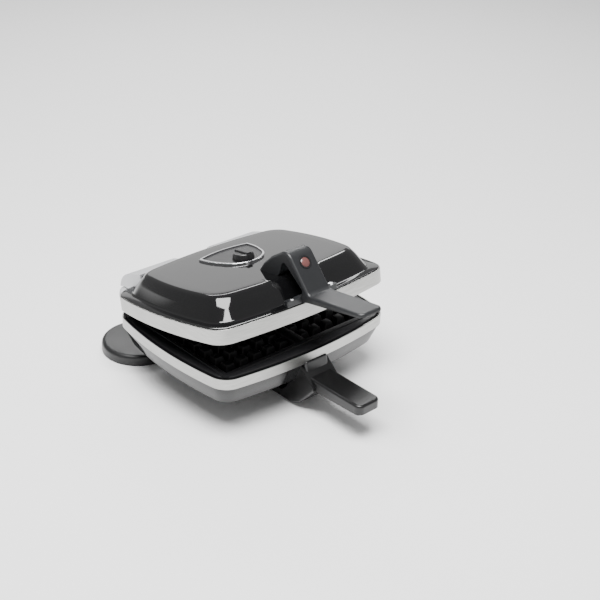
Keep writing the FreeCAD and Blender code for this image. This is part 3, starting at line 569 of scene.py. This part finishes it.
def waffle_field(name, side):
    """One sunk field with its pyramids, drawn out flat at the height of the rim as far as the groove."""
    centre = (FIELD_IN + FIELD_OUT) / 2
    xs = [FIELD_IN + EDGE_RUN]
    for i in range(COLUMNS):
        xs += [FIRST + PITCH * i - STUD_HALF, FIRST + PITCH * i + STUD_HALF]
    xs.append(FIELD_OUT - EDGE_RUN)
    ys = [-FIELD_Y + EDGE_RUN]
    for j in range(ROWS):
        ys += [PITCH * (j - (ROWS - 1) / 2) - STUD_HALF, PITCH * (j - (ROWS - 1) / 2) + STUD_HALF]
    ys.append(FIELD_Y - EDGE_RUN)
    bpy.ops.object.select_all(action="DESELECT")
    bpy.ops.mesh.primitive_grid_add(
        x_subdivisions=len(xs) - 1, y_subdivisions=len(ys) - 1, size=2, location=(0, 0, 0)
    )
    field = bpy.context.object
    field.name = field.data.name = name
    for vertex in field.data.vertices:
        column = round((vertex.co.x + 1) / 2 * (len(xs) - 1))
        row = round((vertex.co.y + 1) / 2 * (len(ys) - 1))
        vertex.co = (side * xs[column] * MM, ys[row] * MM + middle_y, FLOOR * MM + seam)
    bpy.ops.object.mode_set(mode="EDIT")
    bpy.ops.mesh.select_all(action="SELECT")
    bpy.ops.mesh.normals_make_consistent(inside=False)
    bpy.ops.mesh.select_mode(type="FACE")
    mesh = bmesh.from_edit_mesh(field.data)
    mesh.normal_update()
    if sum(face.normal.z for face in mesh.faces) < 0:
        bpy.ops.mesh.flip_normals()
    bpy.ops.mesh.select_all(action="DESELECT")
    mesh = bmesh.from_edit_mesh(field.data)
    for face in mesh.faces:
        spot = face.calc_center_median()
        x, y = abs(spot.x) / MM - FIRST, (spot.y - middle_y) / MM + PITCH / 2
        on_x = abs((x + PITCH / 2) % PITCH - PITCH / 2) < NEAR
        on_y = abs((y + PITCH / 2) % PITCH - PITCH / 2) < NEAR
        if on_x and on_y:
            face.select = True
    bmesh.update_edit_mesh(field.data)
    bpy.ops.mesh.inset(use_individual=True, thickness=STUD_INSET * MM, depth=STUD_RISE * MM)
    bpy.ops.mesh.select_mode(type="EDGE")
    bpy.ops.mesh.select_all(action="DESELECT")
    bpy.ops.mesh.edges_select_sharp(sharpness=math.radians(25))
    bpy.ops.mesh.bevel(offset=STUD_ROUND * MM, segments=3, profile=0.5, clamp_overlap=True)
    half_x, half_y = (FIELD_OUT - FIELD_IN) / 2 - EDGE_RUN, FIELD_Y - EDGE_RUN
    for grow, rise in EDGE_STEPS:
        widen_edge(field, (side * centre, middle_y / MM), (half_x, half_y), grow, rise)
        half_x, half_y = half_x + grow, half_y + grow
    widen_edge(field, (side * centre, middle_y / MM), (half_x, half_y), 0, 0)
    bpy.ops.transform.resize(
        value=(GROOVE_X / 2 / half_x, GROOVE_Y / half_y, 1), center_override=(side * centre * MM, middle_y, 0)
    )
    bpy.ops.transform.translate(value=(side * (GROOVE_X / 2 - centre) * MM, 0, 0))
    bpy.ops.object.mode_set(mode="OBJECT")
    return field


def grid_plate(name):
    """The rim, its groove and its underside, joined to two fields and left in edit mode."""
    rings = [
        (bowed_plan(GROOVE_X + d, GROOVE_Y + d, STRAIGHT, STRAIGHT, 0.4 + d), h)
        for d, h in ((0.0, RIM), (0.5, RIM - GROOVE_DEPTH), (2.0, RIM - GROOVE_DEPTH), (2.5, RIM))
    ]
    rings += [(body_plan(-1.2), RIM), (body_plan(-0.35), RIM - 0.35), (body_plan(0), RIM - 1.2)]
    pan = bowed_plan(FIELD_OUT + 4, FIELD_Y + 4, STRAIGHT, STRAIGHT, 8)
    rings += [(body_plan(0), PLATE_BACK), (body_plan(-5), PAN_STEP), (pan, PAN_START), (pan, PAN_BOTTOM)]
    plate = loft(name, [level(plan, height) for plan, height in rings])
    mesh = bmesh.from_edit_mesh(plate.data)
    mesh.normal_update()
    if max(mesh.faces, key=lambda face: face.calc_area()).normal.z > 0:
        bpy.ops.mesh.flip_normals()
    bpy.ops.object.mode_set(mode="OBJECT")
    fields = [waffle_field(name + "_field", side) for side in (-1, 1)]
    bpy.ops.object.select_all(action="DESELECT")
    for piece in (plate, *fields):
        piece.select_set(True)
    bpy.context.view_layer.objects.active = plate
    bpy.ops.object.join()
    bpy.ops.object.mode_set(mode="EDIT")
    return plate


# %% [markdown]
# The upper plate is a copy of the lower one, mirrored in the seam and then hung on the axle.

# %% Both plates
lower_plate = grid_plate("lower_grid_plate")
done(lower_plate, "lower_unit", nonstick, ["lower_plate"], angle=40)
upper_plate = lower_plate.copy()
upper_plate.data = lower_plate.data.copy()
upper_plate.name = upper_plate.data.name = "upper_grid_plate"
bpy.context.collection.objects.link(upper_plate)
bpy.ops.object.select_all(action="DESELECT")
upper_plate.select_set(True)
bpy.context.view_layer.objects.active = upper_plate
upper_plate.parent = None
bpy.ops.object.mode_set(mode="EDIT")
bpy.ops.mesh.select_all(action="SELECT")
bpy.ops.transform.resize(value=(1, 1, -1), center_override=(0, middle_y, seam))
bpy.ops.mesh.flip_normals()
done(upper_plate, "lid", nonstick, ["upper_plate"], angle=40, lifted=True)
